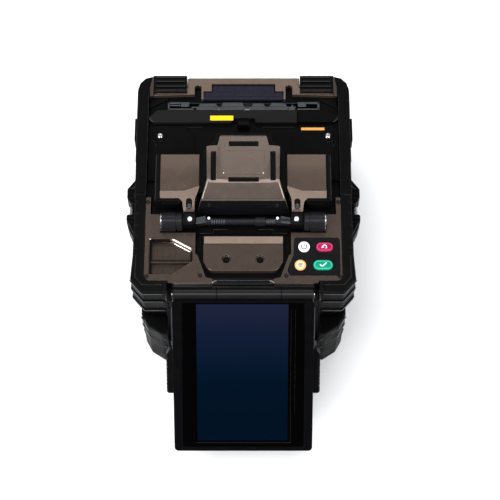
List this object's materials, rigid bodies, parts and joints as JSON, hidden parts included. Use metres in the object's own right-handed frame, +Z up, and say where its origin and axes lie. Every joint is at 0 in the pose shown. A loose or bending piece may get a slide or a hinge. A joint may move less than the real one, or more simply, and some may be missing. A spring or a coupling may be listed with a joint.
{
  "type": "fiber fusion splicer",
  "caption": "Bench-top fusion splicer for optical fiber: padded square case, hinged wind cover over the V-groove, sleeve heater, keypad, parts tray and tilting touch screen.",
  "frame": {"origin": "middle of the case's footprint, on the surface the splicer stands on", "axes": "+Z up, +Y from the operator towards the heater at the back, +X to the operator's right"},
  "size_m": [0.172, 0.2653, 0.149],
  "materials": {
    "case_plastic": "fine moulded texture, near black",
    "rubber_damper": "matte black rubber",
    "bronze_paint": "satin metallic brown paint",
    "tray_plastic": "satin metallic brown paint, darker in the recess",
    "cover_plastic": "satin moulded black",
    "hinge_metal": "satin black barrel with a bright end ring",
    "steel": "turned, bright",
    "aluminium": "machined, clear anodised",
    "ceramic": "unglazed ceramic",
    "monitor_plastic": "satin moulded black",
    "screen_glass": "dark touch glass over a display that is off",
    "circuit_board": "green solder mask",
    "module_plastic": "moulded dark grey",
    "white_key": "satin silicone",
    "red_key": "satin silicone",
    "orange_key": "satin silicone",
    "green_key": "satin silicone"
  },
  "bodies": {
    "case": {"lower_case": "case_plastic", "upper_case": "case_plastic", "io_panel": "case_plastic", "tripod_plate": "aluminium", "main_board": "circuit_board", "arc_supply": "module_plastic", "upper_front_damper_left": "rubber_damper", "upper_front_damper_right": "rubber_damper", "lower_front_damper_left": "rubber_damper", "lower_front_damper_right": "rubber_damper", "upper_rear_damper_left": "rubber_damper", "upper_rear_damper_right": "rubber_damper", "lower_rear_damper_left": "rubber_damper", "lower_rear_damper_right": "rubber_damper", "strap_bar_left": "steel", "strap_bar_right": "steel", "top_frame": "case_plastic", "deck_panel": "bronze_paint", "parts_tray": "tray_plastic", "keypad_plate": "case_plastic", "keypad_board": "circuit_board", "front_stage_cover": "bronze_paint", "rear_trim": "bronze_paint", "heater_trough": "aluminium", "heater_element": "ceramic", "heater_front_bar": "cover_plastic", "cover_shaft": "steel", "hinge_damper_left": "hinge_metal", "hinge_damper_right": "hinge_metal", "cover_latch": "cover_plastic", "stage_block": "aluminium", "v_groove_block": "ceramic", "electrode_holder_front": "ceramic", "electrode_holder_rear": "ceramic", "objective_block": "module_plastic", "monitor_pin": "steel", "monitor_bracket_left": "monitor_plastic", "monitor_bracket_right": "monitor_plastic"},
    "wind_cover": {"wind_cover_frame": "cover_plastic", "wind_cover_centre": "bronze_paint", "lamp_board": "circuit_board", "wing_panel_left": "bronze_paint", "wing_panel_right": "bronze_paint"},
    "monitor": {"monitor_back_shell": "monitor_plastic", "monitor_bezel": "monitor_plastic", "touch_glass": "screen_glass", "lcd_module": "aluminium", "monitor_grip_left": "rubber_damper", "monitor_grip_right": "rubber_damper"},
    "heater_lid": {"heater_lid": "cover_plastic"},
    "power_key": {"power_button": "white_key"},
    "reset_key": {"reset_button": "red_key"},
    "heat_key": {"heat_button": "orange_key"},
    "set_key": {"set_button": "green_key"},
    "feed_left": {"feed_stage_left": "aluminium"},
    "feed_right": {"feed_stage_right": "aluminium"},
    "clamp_left": {"sheath_clamp_left": "module_plastic"},
    "clamp_right": {"sheath_clamp_right": "module_plastic"},
    "battery": {"battery_pack": "module_plastic"},
    "latch": {"battery_latch": "module_plastic"}
  },
  "joints": [
    {"name": "monitor_tilt", "type": "hinge", "parent": "case", "child": "monitor", "pos_m": [0, -0.087, 0.121], "axis": [-1, 0, 0], "range_deg": [-46, 132]},
    {"name": "wind_cover_hinge", "type": "hinge", "parent": "case", "child": "wind_cover", "pos_m": [0, -0.034, 0.1293], "axis": [1, 0, 0], "range_deg": [0, 100]},
    {"name": "heater_lid_hinge", "type": "hinge", "parent": "case", "child": "heater_lid", "pos_m": [0, 0.0692, 0.1244], "axis": [1, 0, 0], "range_deg": [0, 175]},
    {"name": "power_press", "type": "slide", "parent": "case", "child": "power_key", "axis": [0, 0, -1], "range_m": [0, 0.001], "stiffness_N_per_m": 1200},
    {"name": "reset_press", "type": "slide", "parent": "case", "child": "reset_key", "axis": [0, 0, -1], "range_m": [0, 0.001], "stiffness_N_per_m": 1200},
    {"name": "heat_press", "type": "slide", "parent": "case", "child": "heat_key", "axis": [0, 0, -1], "range_m": [0, 0.001], "stiffness_N_per_m": 1200},
    {"name": "set_press", "type": "slide", "parent": "case", "child": "set_key", "axis": [0, 0, -1], "range_m": [0, 0.001], "stiffness_N_per_m": 1200},
    {"name": "feed_left_slide", "type": "slide", "parent": "case", "child": "feed_left", "axis": [1, 0, 0], "range_m": [-0.0015, 0.0015]},
    {"name": "clamp_left_hinge", "type": "hinge", "parent": "feed_left", "child": "clamp_left", "pos_m": [-0.038, 0.0116, 0.123], "axis": [-1, 0, 0], "range_deg": [0, 60]},
    {"name": "feed_right_slide", "type": "slide", "parent": "case", "child": "feed_right", "axis": [-1, 0, 0], "range_m": [-0.0015, 0.0015]},
    {"name": "clamp_right_hinge", "type": "hinge", "parent": "feed_right", "child": "clamp_right", "pos_m": [0.038, 0.0116, 0.123], "axis": [-1, 0, 0], "range_deg": [0, 60]},
    {"name": "battery_slide", "type": "slide", "parent": "case", "child": "battery", "axis": [0, 1, 0], "range_m": [0, 0.072]},
    {"name": "battery_latch_press", "type": "slide", "parent": "battery", "child": "latch", "axis": [0, 0, -1], "range_m": [0, 0.003], "stiffness_N_per_m": 500}
  ],
  "couplings": [
    {"joint": "clamp_left_hinge", "follows": "wind_cover_hinge", "ratio": 0.6},
    {"joint": "clamp_right_hinge", "follows": "wind_cover_hinge", "ratio": 0.6}
  ]
}
